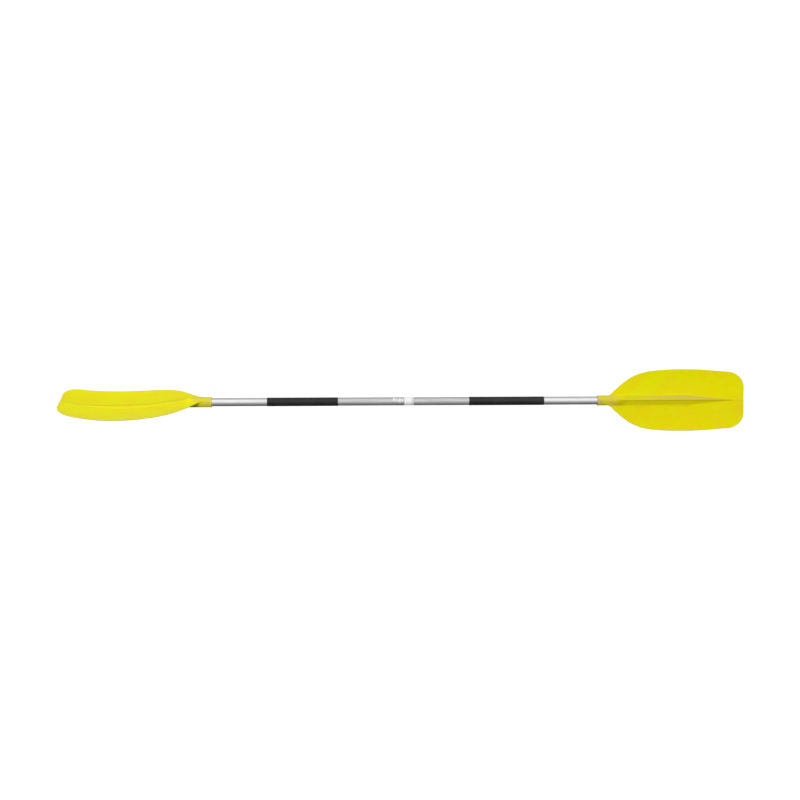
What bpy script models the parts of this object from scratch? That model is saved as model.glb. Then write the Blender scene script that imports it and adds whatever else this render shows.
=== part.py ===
"""Kayak paddle: a take-apart double-bladed paddle, as an assembly of separate pieces.

The shaft lies along X with its axis on the origin, and the right blade's power face looks up
(+Z). The left blade is turned back by the feather angle. The two halves meet a little right of
the middle, where a ferrule tube slides into the left half and a sprung button locks it.
"""

import math

import bmesh
import bpy
from mathutils import Matrix, Vector

# Driving dimensions, in metres and degrees
TOTAL_LENGTH = 2.134
FEATHER = 65.0
SHAFT_R = 0.0127
TUBE_WALL = 0.00125
SIDES = 32
FIT_GAP = 0.0003

# Blade
BLADE_LENGTH = 0.465
BLADE_HALF_WIDTH = 0.0976
PLATE_THICKNESS = 0.0034
SOCKET_DEPTH = 0.060
SOCKET_R = 0.0157
DISH_DEPTH = 0.0080
SPOON_X = 0.905
SPOON_CURVE = (-0.0184, 0.0164, 0.70, 0.92)  # height, slope and so on of the middle line there
FLARE_LENGTH = 0.085
SPINE_HALF_WIDTH = 0.0152
SPINE_TAPER_X = 0.900
SPINE_END_X = 1.034
SPINE_FADE = 0.030  # how far before the taper it begins to flatten
FRONT_RIB = 0.0030
BACK_RIB = 0.0075
LEAVES_FRONT = (0.001, 0.036)  # past the shaft's end, where the socket turns into the spine
LEAVES_BACK = (0.010, 0.190)
SOCKET_LIP = 0.002
TIP_CORNER_R = 0.052

# Grips: inner and outer ends, as distances from the middle of the shaft
LEFT_GRIP = (0.2117, 0.4315)
RIGHT_GRIP = (0.1973, 0.4328)
GRIP_WALL = 0.00055
GRIP_GAP = 0.0002
GRIP_EDGE = 0.0010

# Plugs inside the shaft and the label on it
LEFT_FOAM_PLUG = (0.115, 0.150)
RIGHT_FOAM_PLUG = (0.110, 0.145)
BLADE_PLUG_LENGTH = 0.023
BLADE_PLUG_INSET = 0.002
LABEL_ENDS = (-0.0430, -0.0085)
LABEL_ANGLES = (4.0, 108.0)
LABEL_LIFT = 0.0002
LABEL_THICKNESS = 0.0002

# Ferrule joint, at stations along X
LEFT_TUBE_END = -0.0058
COLLAR_END = 0.0174
RING_END = 0.0243
RIGHT_TUBE_END = 0.0248
BUSHING_WALL = 0.00115
BUSHING_DEPTH = 0.070
FERRULE_R = 0.0097
FERRULE_WALL = 0.0012
FERRULE_FREE_END = -0.092
FERRULE_FIXED_END = 0.100
CAP_SPIGOT = 0.012
CAP_HEAD = 0.0035
BUTTON_X = -0.045
BUTTON_R = 0.0040
BUTTON_TOP_R = 0.0148
BUTTON_ANGLE = -40.0
CLIP_THICKNESS = 0.0006
CLIP_WIDTH = 0.0070
CLIP_BEND_X = -0.071
CLIP_BEND_R = 0.0030
CLIP_BEND_Z = -0.0010

# Fasteners
RIVET_INSET = 0.0105  # from the socket's mouth
RIVET_HEAD_R = 0.0032
RIVET_SHANK_R = 0.0016
RIVET_HOLE_R = 0.0019
RIVET_HEAD = 0.0013
RIVET_BULB = 0.0026
FERRULE_RIVET_X = 0.078
FERRULE_RIVET_ANGLES = (-40.0, -140.0)

# Derived stations
TIP_X = TOTAL_LENGTH / 2
SOCKET_X = TIP_X - BLADE_LENGTH
RIVET_X = SOCKET_X + RIVET_INSET
TUBE_INNER_R = SHAFT_R - TUBE_WALL
TUBE_BLADE_END = SOCKET_X + SOCKET_DEPTH
BLADE_PLUG = (TUBE_BLADE_END - BLADE_PLUG_INSET - BLADE_PLUG_LENGTH, TUBE_BLADE_END - BLADE_PLUG_INSET)
BORE_R = SHAFT_R + FIT_GAP
SLEEVE_R = TUBE_INNER_R - FIT_GAP
SLEEVE_INNER_R = SLEEVE_R - BUSHING_WALL
FERRULE_INNER_R = FERRULE_R - FERRULE_WALL
BEYOND = 0.03  # how far a cutter reaches out of the wall it cuts
FINE = 1e-5


def clear_scene():
    for obj in list(bpy.data.objects):
        bpy.data.objects.remove(obj)
    for mesh in list(bpy.data.meshes):
        bpy.data.meshes.remove(mesh)


def new_collection(name):
    collection = bpy.data.collections.new(name)
    bpy.context.scene.collection.children.link(collection)
    return collection


def material(name, color, roughness, metallic=0.0):
    mat = bpy.data.materials.new(name)
    mat.use_nodes = True
    shader = mat.node_tree.nodes["Principled BSDF"]
    shader.inputs["Base Color"].default_value = (*color, 1.0)
    shader.inputs["Roughness"].default_value = roughness
    shader.inputs["Metallic"].default_value = metallic
    return mat


# ---- placing -------------------------------------------------------------------------------

def along_x(sign, turn=0.0):
    """Local Z along the world's +X or -X, turned about that axis."""
    return Matrix.Rotation(math.radians(turn), 4, "X") @ Matrix.Rotation(sign * math.pi / 2, 4, "Y")


def outwards(x, angle):
    """Local Z pointing away from the shaft's axis at station x; the angle goes from +Y to +Z."""
    return Matrix.Translation((x, 0, 0)) @ Matrix.Rotation(math.radians(angle - 90.0), 4, "X")


def empty(name, matrix, parent=None):
    obj = bpy.data.objects.new(name, None)
    PADDLE.objects.link(obj)
    obj.parent = parent
    obj.matrix_world = matrix
    return obj


def add(name, mesh, mat, matrix, parent=None):
    obj = bpy.data.objects.new(name, mesh)
    PADDLE.objects.link(obj)
    if mat and not mesh.materials:
        mesh.materials.append(mat)
    if parent:
        obj.parent = parent
        obj.matrix_parent_inverse = parent.matrix_world.inverted()
    obj.matrix_world = matrix
    return obj


def add_cutter(name, mesh, matrix):
    obj = bpy.data.objects.new(name, mesh)
    CUTTERS.objects.link(obj)
    obj.matrix_world = matrix
    obj.hide_render = True
    obj.display_type = "WIRE"
    return obj


def combine(obj, other, operation="DIFFERENCE"):
    boolean = obj.modifiers.new(other.name, "BOOLEAN")
    boolean.operation = operation
    boolean.solver = "EXACT"
    boolean.object = other


# ---- shapes --------------------------------------------------------------------------------

def profile_mesh(name, points, closed):
    """An outline of (radius, height) points, to be turned about Z."""
    mesh = bpy.data.meshes.new(name)
    edges = [(i, i + 1) for i in range(len(points) - 1)]
    if closed:
        edges.append((len(points) - 1, 0))
    mesh.from_pydata([(r, 0.0, z) for r, z in points], edges, [])
    return mesh


def turn_profile(obj, steps=SIDES):
    screw = obj.modifiers.new("Turned", "SCREW")
    screw.axis = "Z"
    screw.steps = steps
    screw.render_steps = steps
    screw.use_merge_vertices = True
    screw.merge_threshold = FINE
    screw.use_smooth_shade = True
    return obj


def turned(name, points, mat, matrix, parent, closed=True, steps=SIDES):
    return turn_profile(add(name, profile_mesh(name, points, closed), mat, matrix, parent), steps)


def tube_profile(low, high, outer, inner):
    """The four corners of a tube's wall, down its outer side and up its inner side."""
    return [(outer, high), (outer, low), (inner, low), (inner, high)]


def cylinder_mesh(name, radius, low, high, sides=SIDES):
    """A closed cylinder about Z between two heights."""
    mesh = bpy.data.meshes.new(name)
    bm = bmesh.new()
    middle = Matrix.Translation((0, 0, (low + high) / 2))
    bmesh.ops.create_cone(
        bm, cap_ends=True, segments=sides, radius1=radius, radius2=radius, depth=high - low, matrix=middle
    )
    bm.to_mesh(mesh)
    bm.free()
    return mesh


def smooth_step(value, low, high):
    t = min(max((value - low) / (high - low), 0.0), 1.0)
    return t * t * (3 - 2 * t)


def mix(a, b, share):
    return a + (b - a) * share


# ---- blade ---------------------------------------------------------------------------------

OUTLINE = (  # distance from the middle of the shaft, half-width
    (0.6380, 0.0165),
    (0.6505, 0.0274),
    (0.6758, 0.0493),
    (0.7061, 0.0711),
    (0.7466, 0.0871),
    (0.7971, 0.0947),
    (0.8598, 0.0976),
    (0.9356, 0.0962),
    (TIP_X - TIP_CORNER_R, 0.0897),
)


def half_width(x):
    """The blade's half-width at x: a curve through OUTLINE, then a round corner to the square tip."""
    corner_x, corner_y = OUTLINE[-1]
    if x >= corner_x:
        across = min((x - corner_x) / TIP_CORNER_R, 1.0)
        return corner_y - TIP_CORNER_R * (1 - math.sqrt(1 - across * across))
    i = max(n for n in range(len(OUTLINE) - 1) if OUTLINE[n][0] <= x or n == 0)
    (x0, y0), (x1, y1) = OUTLINE[i], OUTLINE[i + 1]
    t = (x - x0) / (x1 - x0)
    m0, m1 = outline_slope(i) * (x1 - x0), outline_slope(i + 1) * (x1 - x0)
    t2, t3 = t * t, t * t * t
    return (2 * t3 - 3 * t2 + 1) * y0 + (t3 - 2 * t2 + t) * m0 + (3 * t2 - 2 * t3) * y1 + (t3 - t2) * m1


def outline_slope(i):
    """The outline's slope at its i-th point, from its neighbours."""
    a, b = OUTLINE[max(i - 1, 0)], OUTLINE[min(i + 1, len(OUTLINE) - 1)]
    return (b[1] - a[1]) / (b[0] - a[0])


def spoon(x):
    """Height of the plate's middle line over the shaft's axis: low in the middle, up at both ends."""
    u = x - SPOON_X
    return sum(term * u ** n for n, term in enumerate(SPOON_CURVE))


def plate_height(x, y):
    """Height of the middle of the plate, which is dished across its width too."""
    return spoon(x) + DISH_DEPTH * (y / BLADE_HALF_WIDTH) ** 2


def plate_stations():
    """Stations along the plate, closer together where its outline turns quickly."""
    low, corner_x = OUTLINE[0][0], OUTLINE[-1][0]
    flare = [low + FLARE_LENGTH * i / 6 for i in range(6)]
    middle = [mix(low + FLARE_LENGTH, corner_x, i / 13) for i in range(13)]
    corner = [corner_x + TIP_CORNER_R * math.sin(math.radians(15 * i)) for i in range(7)]
    return flare + middle + corner


def plate_mesh():
    """The blade's plate: a closed loft of sections, each a strip of equal thickness."""
    across = 14
    bm = bmesh.new()
    rows = []
    for x in plate_stations():
        ys = [half_width(x) * (2 * i / across - 1) for i in range(across + 1)]
        front = [bm.verts.new((x, y, plate_height(x, y) + PLATE_THICKNESS / 2)) for y in ys]
        back = [bm.verts.new((x, y, plate_height(x, y) - PLATE_THICKNESS / 2)) for y in ys]
        rows.append(front + back[::-1])
    close_loft(bm, rows)
    return finished_mesh(bm, "plate")


def close_loft(bm, rows):
    """Joins rings of equal length side by side, and fills the first and the last."""
    count = len(rows[0])
    for a, b in zip(rows, rows[1:]):
        for i in range(count):
            j = (i + 1) % count
            bm.faces.new((a[i], a[j], b[j], b[i]))
    bm.faces.new(rows[0])
    bm.faces.new(rows[-1][::-1])


def finished_mesh(bm, name):
    bmesh.ops.triangulate(bm, faces=[f for f in bm.faces if len(f.verts) > 4])
    bmesh.ops.recalc_face_normals(bm, faces=bm.faces)
    mesh = bpy.data.meshes.new(name)
    bm.to_mesh(mesh)
    bm.free()
    return mesh


def spine_section(x):
    """(centre, half-width, height to the front, depth to the back) of the socket and spine at x."""
    past = x - TUBE_BLADE_END
    leave = smooth_step(past, *LEAVES_FRONT)
    leave_back = smooth_step(past, *LEAVES_BACK)
    fade = 1 - smooth_step(x, SPINE_TAPER_X - SPINE_FADE, SPINE_END_X)
    narrow = min(1.0, (SPINE_END_X - x) / (SPINE_END_X - SPINE_TAPER_X))
    middle = spoon(x)
    front = mix(SOCKET_R, middle + PLATE_THICKNESS / 2 + FRONT_RIB * fade, leave)
    back = mix(-SOCKET_R, middle - PLATE_THICKNESS / 2 - BACK_RIB * fade, leave_back)
    centre = mix(0.0, middle, leave_back)
    width = mix(SOCKET_R, SPINE_HALF_WIDTH * max(narrow, 0.03), smooth_step(x, SOCKET_X, SPINE_TAPER_X))
    return centre, width, front - centre, centre - back


def ring_points(x, width, centre, front, back):
    """One ring round the shaft's axis: half an ellipse in front of its centre and half one behind."""
    turn = [2 * math.pi * (i + 0.5) / SIDES for i in range(SIDES)]
    return [(x, width * math.cos(a), centre + (front if a < math.pi else back) * math.sin(a)) for a in turn]


def spine_mesh():
    """The socket and the spine that runs on from it: a loft out of the bore, round its mouth, to the tip."""
    rounded = SOCKET_X + SOCKET_LIP
    stations = [rounded] + [mix(rounded, SPINE_END_X, i / 19) for i in range(1, 20)]
    lip = SOCKET_R - SOCKET_LIP / 2
    rings = [
        ring_points(TUBE_BLADE_END + FIT_GAP, BORE_R, 0.0, BORE_R, BORE_R),
        ring_points(SOCKET_X, BORE_R, 0.0, BORE_R, BORE_R),
        ring_points(SOCKET_X, lip, 0.0, lip, lip),
    ]
    for x in stations:
        centre, width, front, back = spine_section(x)
        rings.append(ring_points(x, width, centre, front, back))
    bm = bmesh.new()
    close_loft(bm, [[bm.verts.new(point) for point in ring] for ring in rings])
    return finished_mesh(bm, "spine")


def blade(name, matrix, parent, holes):
    """One moulded blade: its bored socket and spine, joined to a plate that is open for the shaft."""
    obj = add(name, spine_mesh(), YELLOW, matrix, parent)
    plate = add_cutter(name + "_plate", plate_mesh(), matrix)
    opening = cylinder_mesh("opening", BORE_R + FIT_GAP, SOCKET_X, TUBE_BLADE_END + 2 * FIT_GAP)
    combine(plate, add_cutter(name + "_opening", opening, matrix @ along_x(1)))
    combine(obj, plate, "UNION")
    for hole in holes:
        combine(obj, hole)
    return obj


# ---- shaft, grips and what is inside ---------------------------------------------------------

def radial_hole(name, x, angle, radius):
    """A cutter through one wall of the shaft and all that is round it."""
    return add_cutter(name, cylinder_mesh(name, radius, FERRULE_INNER_R / 2, BEYOND, 16), outwards(x, angle))


def shaft_tube(name, sign, inner_end, holes, parent):
    profile = tube_profile(inner_end, TUBE_BLADE_END, SHAFT_R, TUBE_INNER_R)
    obj = turned(name, profile, ALUMINIUM, along_x(sign, 180.0 / SIDES), parent)
    for hole in holes:
        combine(obj, hole)
    return obj


def grip(name, sign, ends, parent):
    """A thin sleeve shrunk on to the shaft."""
    inner = SHAFT_R + GRIP_GAP
    outer = inner + GRIP_WALL
    low, high = ends
    chamfer = outer - GRIP_EDGE / 3
    points = [(chamfer, high), (outer, high - GRIP_EDGE), (outer, low + GRIP_EDGE), (chamfer, low)]
    points += [(inner, low), (inner, high)]
    return turned(name, points, BLACK, along_x(sign, 180.0 / SIDES), parent)


def plug(name, sign, ends, parent):
    """A short foam plug inside the shaft, with a rounded edge at both ends."""
    r, edge = TUBE_INNER_R - FIT_GAP, GRIP_EDGE
    low, high = ends
    points = [(0, high), (r - edge, high), (r, high - edge), (r, low + edge), (r - edge, low), (0, low)]
    return turned(name, points, FOAM, along_x(sign), parent, closed=False, steps=20)


def rivet(name, x, angle, seat, parent, inside):
    """A blind rivet: a domed head outside the wall, a shank, and the set bulb inside it."""
    head = seat + FIT_GAP
    points = [
        (0, head + RIVET_HEAD),
        (RIVET_HEAD_R * 0.6, head + RIVET_HEAD * 0.77),
        (RIVET_HEAD_R, head + RIVET_HEAD * 0.23),
        (RIVET_HEAD_R, head),
        (RIVET_SHANK_R, head),
        (RIVET_SHANK_R, inside),
        (RIVET_SHANK_R * 1.5, inside - RIVET_BULB * 0.2),
        (RIVET_SHANK_R * 1.5, inside - RIVET_BULB * 0.8),
        (0, inside - RIVET_BULB),
    ]
    return turned(name, points, STEEL, outwards(x, angle), parent, closed=False, steps=12)


# ---- ferrule joint -------------------------------------------------------------------------

def socket_bushing(parent, holes):
    """The plastic liner of the left tube, with a collar that is flush with the tube."""
    points = [
        (SHAFT_R, COLLAR_END - 0.0004),
        (SHAFT_R, LEFT_TUBE_END + FIT_GAP),
        (SLEEVE_R, LEFT_TUBE_END + FIT_GAP),
        (SLEEVE_R, LEFT_TUBE_END - BUSHING_DEPTH),
        (SLEEVE_INNER_R, LEFT_TUBE_END - BUSHING_DEPTH),
        (SLEEVE_INNER_R, COLLAR_END),
        (SHAFT_R - 0.0004, COLLAR_END),
    ]
    obj = turned("socket_bushing", points, WHITE, along_x(1, 180.0 / SIDES), parent)
    for hole in holes:
        combine(obj, hole)
    return obj


def ferrule_cap(parent):
    """The plug in the ferrule's free end, which keeps water out and the button clip in."""
    spigot_r = FERRULE_INNER_R - FIT_GAP
    face = FERRULE_FREE_END - FIT_GAP
    points = [
        (0, FERRULE_FREE_END + CAP_SPIGOT),
        (spigot_r - 0.0006, FERRULE_FREE_END + CAP_SPIGOT),
        (spigot_r, FERRULE_FREE_END + CAP_SPIGOT - 0.001),
        (spigot_r, face),
        (FERRULE_R, face),
        (FERRULE_R, face - CAP_HEAD + 0.0015),
        (FERRULE_R - 0.0015, face - CAP_HEAD),
        (0, face - CAP_HEAD),
    ]
    return turned("ferrule_cap", points, WHITE, along_x(1), parent, closed=False)


def clip_path():
    """The leaf's middle line, (along the shaft, towards the button): one leg, the bend, the other leg."""
    leg_z, foot_z = FERRULE_INNER_R - 0.0012, -FERRULE_INNER_R + 0.0016
    turn = [math.radians(a) for a in range(0, 181, 30)]
    leg = [(BUTTON_X + 0.009, leg_z - 0.0004), (BUTTON_X - 0.006, leg_z)]
    bend = [(CLIP_BEND_X - CLIP_BEND_R * math.sin(a), CLIP_BEND_Z + CLIP_BEND_R * math.cos(a)) for a in turn]
    foot = [(BUTTON_X + 0.004, foot_z), (BUTTON_X + 0.012, foot_z + 0.0006)]
    return leg + bend + foot


def clip_ribbon():
    """The clip's V-shaped leaf, in its own frame: x along the shaft, z towards the button."""
    path = clip_path()
    bm = bmesh.new()
    rows = []
    for i, (x, z) in enumerate(path):
        before, after = Vector(path[max(i - 1, 0)]), Vector(path[min(i + 1, len(path) - 1)])
        way = (after - before).normalized()
        side = Vector((-way.y, way.x)) * CLIP_THICKNESS / 2
        corners = [(x + side.x, z + side.y), (x - side.x, z - side.y)]
        half = CLIP_WIDTH / 2
        ring = [(corners[0], -half), (corners[0], half), (corners[1], half), (corners[1], -half)]
        rows.append([bm.verts.new((c[0], y, c[1])) for c, y in ring])
    close_loft(bm, rows)
    return finished_mesh(bm, "clip_leaf")


def snap_clip(parent):
    """The lock: a stamped spring leaf bent to a V, with its round button drawn out of one leg."""
    frame = Matrix.Rotation(math.radians(BUTTON_ANGLE - 90.0), 4, "X")
    obj = add("snap_clip", clip_ribbon(), STEEL, frame, parent)
    top = BUTTON_TOP_R
    base = FERRULE_INNER_R - 0.0012
    points = [(0, top), (BUTTON_R * 0.45, top - 0.0003), (BUTTON_R * 0.85, top - 0.0012)]
    points += [(BUTTON_R, top - 0.0024), (BUTTON_R, base), (0, base)]
    mesh = profile_mesh("snap_button", points, False)
    button = add_cutter("snap_button", mesh, outwards(BUTTON_X, BUTTON_ANGLE))
    combine(obj, turn_profile(button, 20), "UNION")
    return obj


def label(parent):
    """A thin label wrapped round part of the shaft beside the joint."""
    inner = SHAFT_R + LABEL_LIFT
    outer = inner + LABEL_THICKNESS
    low, high = LABEL_ENDS
    steps = 13
    bm = bmesh.new()
    rows = []
    for i in range(steps + 1):
        a = math.radians(mix(*LABEL_ANGLES, i / steps))
        corners = ((low, inner), (high, inner), (high, outer), (low, outer))
        rows.append([bm.verts.new((x, r * math.cos(a), r * math.sin(a))) for x, r in corners])
    close_loft(bm, rows)
    return add("shaft_label", finished_mesh(bm, "shaft_label"), LABEL, Matrix(), parent)


# ---- assembly ------------------------------------------------------------------------------

def rivets_of_blade(side, sign, parent):
    """The two rivets of one socket, drilled straight down through both walls."""
    for place, angle in (("front", 90.0), ("back", -90.0)):
        rivet(f"blade_rivet_{side}_{place}", sign * RIVET_X, angle, SOCKET_R, parent, TUBE_INNER_R - FIT_GAP)


def blade_holes(side, sign):
    name = f"rivet_hole_{side}"
    return [radial_hole(f"{name}_{a:+.0f}", sign * RIVET_X, a, RIVET_HOLE_R) for a in (90.0, -90.0)]


def left_half():
    half = empty("left_half", Matrix())
    holes = blade_holes("left", -1)
    turned_back = Matrix.Rotation(math.radians(-FEATHER), 4, "X") @ Matrix.Rotation(math.pi, 4, "Z")
    blade("blade_left", turned_back, half, holes)
    angles = [BUTTON_ANGLE - FEATHER * i for i in range(3)]
    button_holes = [
        radial_hole(f"button_hole_{i}", BUTTON_X, angle, BUTTON_R + FIT_GAP)
        for i, angle in enumerate(angles)
    ]
    shaft_tube("shaft_left", -1, -LEFT_TUBE_END, holes + button_holes, half)
    socket_bushing(half, button_holes)
    rivets_of_blade("left", -1, half)
    grip("grip_left", -1, LEFT_GRIP, half)
    plug("blade_plug_left", -1, BLADE_PLUG, half)
    plug("foam_plug_left", -1, LEFT_FOAM_PLUG, half)
    label(half)


def right_half():
    ring = empty("feather_axis", Matrix())
    profile = tube_profile(COLLAR_END + FIT_GAP, RING_END, SHAFT_R, FERRULE_R + FIT_GAP)
    turned("joint_ring", profile, WHITE, along_x(1, 180.0 / SIDES), ring)
    half = empty("right_half", Matrix(), ring)
    holes = blade_holes("right", 1)
    blade("blade_right", Matrix(), half, holes)
    rivet_holes = [
        radial_hole(f"ferrule_hole_{i}", FERRULE_RIVET_X, angle, RIVET_HOLE_R)
        for i, angle in enumerate(FERRULE_RIVET_ANGLES)
    ]
    shaft_tube("shaft_right", 1, RIGHT_TUBE_END, holes + rivet_holes, half)
    profile = tube_profile(RIGHT_TUBE_END, FERRULE_FIXED_END, SLEEVE_R, SLEEVE_INNER_R)
    bushing = turned("ferrule_bushing", profile, WHITE, along_x(1), half)
    profile = tube_profile(FERRULE_FREE_END, FERRULE_FIXED_END, FERRULE_R, FERRULE_INNER_R)
    ferrule = turned("ferrule_tube", profile, ALUMINIUM, along_x(1), half)
    for hole in rivet_holes:
        combine(bushing, hole)
        combine(ferrule, hole)
    combine(ferrule, radial_hole("clip_hole", BUTTON_X, BUTTON_ANGLE, BUTTON_R + FIT_GAP))
    for i, angle in enumerate(FERRULE_RIVET_ANGLES):
        rivet(f"ferrule_rivet_{i + 1}", FERRULE_RIVET_X, angle, SHAFT_R, half, FERRULE_INNER_R - FIT_GAP)
    ferrule_cap(half)
    rivets_of_blade("right", 1, half)
    grip("grip_right", 1, RIGHT_GRIP, half)
    plug("blade_plug_right", 1, BLADE_PLUG, half)
    plug("foam_plug_right", 1, RIGHT_FOAM_PLUG, half)
    button = empty("button_axis", outwards(BUTTON_X, BUTTON_ANGLE), half)
    snap_clip(button)


def build():
    left_half()
    right_half()
    bpy.context.view_layer.update()


clear_scene()
PADDLE = new_collection("kayak_paddle")
CUTTERS = new_collection("cutters")
YELLOW = material("blade_plastic", (0.72, 0.62, 0.02), 0.42)
ALUMINIUM = material("aluminium", (0.72, 0.72, 0.73), 0.30, 1.0)
BLACK = material("grip_rubber", (0.015, 0.015, 0.016), 0.55)
WHITE = material("joint_plastic", (0.85, 0.85, 0.83), 0.45)
STEEL = material("steel", (0.55, 0.55, 0.56), 0.32, 1.0)
FOAM = material("plug_foam", (0.10, 0.10, 0.11), 0.90)
LABEL = material("label_film", (0.86, 0.86, 0.84), 0.35)
build()
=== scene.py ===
"""Kayak paddle: the looks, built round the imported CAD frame.

Every piece is made in the row frame, in metres, with an object at the origin: X runs along the
shaft and Z out of the right blade's power face. The blades are lofts whose sections come from
distance formulas, the round pieces are turned profiles, and all materials are procedural.
"""

import math

import bmesh
import bpy
import numpy as np
from mathutils import Matrix, Vector


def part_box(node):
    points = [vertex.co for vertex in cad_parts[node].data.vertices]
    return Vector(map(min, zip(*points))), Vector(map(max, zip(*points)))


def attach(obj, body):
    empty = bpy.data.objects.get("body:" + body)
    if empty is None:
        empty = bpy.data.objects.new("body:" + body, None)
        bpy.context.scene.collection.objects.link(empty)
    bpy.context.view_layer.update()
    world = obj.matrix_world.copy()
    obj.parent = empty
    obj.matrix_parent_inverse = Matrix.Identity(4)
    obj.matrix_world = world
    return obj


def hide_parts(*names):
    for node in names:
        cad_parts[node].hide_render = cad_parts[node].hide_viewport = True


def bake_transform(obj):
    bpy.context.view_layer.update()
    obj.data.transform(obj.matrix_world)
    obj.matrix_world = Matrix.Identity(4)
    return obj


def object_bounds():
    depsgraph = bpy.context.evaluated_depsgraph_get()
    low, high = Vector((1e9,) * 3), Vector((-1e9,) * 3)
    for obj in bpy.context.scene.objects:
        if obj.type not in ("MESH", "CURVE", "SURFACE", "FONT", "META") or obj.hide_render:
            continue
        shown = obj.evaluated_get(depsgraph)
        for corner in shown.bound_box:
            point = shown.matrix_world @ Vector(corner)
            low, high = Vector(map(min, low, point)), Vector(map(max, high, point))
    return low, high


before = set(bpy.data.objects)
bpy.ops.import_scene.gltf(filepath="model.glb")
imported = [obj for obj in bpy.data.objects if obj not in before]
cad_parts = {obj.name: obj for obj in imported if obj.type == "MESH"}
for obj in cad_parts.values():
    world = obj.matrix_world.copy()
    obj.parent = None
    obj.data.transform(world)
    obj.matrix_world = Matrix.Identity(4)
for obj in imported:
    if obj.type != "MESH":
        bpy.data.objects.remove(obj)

CAD_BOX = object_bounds()

# Sizes in metres and angles in degrees, as the CAD has them
SHAFT_R = 0.0127
TUBE_WALL = 0.00125
FIT_GAP = 0.0003
FEATHER = 65.0
SOCKET_R = 0.0157
SOCKET_LIP = 0.00035
BLADE_HALF_WIDTH = 0.0976
PLATE_THICKNESS = 0.0034
TIP_CORNER_R = 0.052
SPINE_HALF_WIDTH = 0.0152
GRIP_WALL = 0.00055
GRIP_GAP = 0.0002
RING_PLACES = (0.006, 0.016, 0.026)  # the grips' rings, from each end
RING_WIDTH = 0.0028
RING_HEIGHT = 0.00035
BUSHING_WALL = 0.00115
FERRULE_WALL = 0.0012
BUTTON_X = -0.045
BUTTON_R = 0.0040
BUTTON_TOP_R = 0.0148
BUTTON_ANGLE = -40.0
CLIP_THICKNESS = 0.0006
CLIP_WIDTH = 0.0070
RIVET_INSET = 0.0105
RIVET_HEAD_R = 0.0032
RIVET_SHANK_R = 0.0016
RIVET_HOLE_R = RIVET_SHANK_R + 0.0003
FERRULE_RIVET_X = 0.078
FERRULE_RIVET_ANGLES = (-40.0, -140.0)

# Stations along X, read from the frame
TIP_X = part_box("blade_right")[1].x
SOCKET_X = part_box("blade_right")[0].x
TUBE_END_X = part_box("shaft_right")[1].x
RIVET_X = SOCKET_X + RIVET_INSET
TUBE_INNER_R = SHAFT_R - TUBE_WALL
SLEEVE_R = TUBE_INNER_R - FIT_GAP
SLEEVE_INNER_R = SLEEVE_R - BUSHING_WALL
FERRULE_R = 0.0097
FERRULE_INNER_R = FERRULE_R - FERRULE_WALL

# Holes as (station along X, angle, radius): one for the button at each feather angle, and the rivets'
BUTTON_HOLES = [(BUTTON_X, BUTTON_ANGLE - FEATHER * i, BUTTON_R + FIT_GAP) for i in range(3)]
FERRULE_RIVET_HOLES = [(FERRULE_RIVET_X, angle, RIVET_HOLE_R) for angle in FERRULE_RIVET_ANGLES]


# ---- meshes --------------------------------------------------------------------------------

def smooth_step(value, low, high):
    t = np.clip((np.asarray(value, float) - low) / (high - low), 0.0, 1.0)
    return t * t * (3 - 2 * t)


def mix(a, b, share):
    return a + (b - a) * share


def new_piece(name, mesh, mat, sharp=38.0):
    """An object with smooth shading, broken where faces meet at more than the sharp angle."""
    mesh.shade_smooth()
    mesh.set_sharp_from_angle(angle=math.radians(sharp))
    obj = bpy.data.objects.new(name, mesh)
    bpy.context.scene.collection.objects.link(obj)
    if mat:
        mesh.materials.append(mat)
    return obj


def finished(bm, name):
    bmesh.ops.recalc_face_normals(bm, faces=bm.faces)
    mesh = bpy.data.meshes.new(name)
    bm.to_mesh(mesh)
    bm.free()
    return mesh


def seat(obj, body, slot, *nodes):
    """Puts a piece on its body and hides the CAD nodes it stands for."""
    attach(obj, body)
    if nodes:
        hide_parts(*nodes)
    return obj


def join_rows(bm, rows, closed_ring=True):
    count = len(rows[0])
    last = count if closed_ring else count - 1
    for a, b in zip(rows, rows[1:]):
        for i in range(last):
            j = (i + 1) % count
            corners = [a[i], a[j], b[j], b[i]]
            unique = [v for n, v in enumerate(corners) if v not in corners[:n]]
            if len(unique) > 2:
                bm.faces.new(unique)


def soften(points, radius, steps=4, closed=True):
    """The outline with each corner rounded off; a point may give its own radius as a third number."""
    count = len(points)
    out = []
    for i, point in enumerate(points):
        here = Vector(point[:2])
        size = point[2] if len(point) > 2 else radius
        if (not closed and i in (0, count - 1)) or size <= 0:
            out.append(tuple(here))
            continue
        before, after = Vector(points[i - 1][:2]), Vector(points[(i + 1) % count][:2])
        to_before, to_after = before - here, after - here
        a = here + to_before.normalized() * min(size, to_before.length * 0.45)
        b = here + to_after.normalized() * min(size, to_after.length * 0.45)
        for n in range(steps + 1):
            t = n / steps
            out.append(tuple(a * (1 - t) ** 2 + here * 2 * t * (1 - t) + b * t * t))
    return out


def turned_mesh(name, points, matrix, closed, segments):
    """A mesh turned about local Z from (radius, height) points."""
    bm = bmesh.new()
    rows = []
    for r, z in points:
        if r < 1e-9:
            rows.append([bm.verts.new((0, 0, z))] * segments)
            continue
        turn = [2 * math.pi * i / segments for i in range(segments)]
        rows.append([bm.verts.new((r * math.cos(a), r * math.sin(a), z)) for a in turn])
    join_rows(bm, rows + rows[:1] if closed else rows)
    mesh = finished(bm, name)
    mesh.transform(matrix)
    return mesh


ALONG_X = Matrix.Rotation(math.pi / 2, 4, "Y")


def outwards(x, angle):
    """Local Z pointing away from the shaft's axis at station x; the angle goes from +Y to +Z."""
    return Matrix.Translation((x, 0, 0)) @ Matrix.Rotation(math.radians(angle - 90.0), 4, "X")


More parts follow.
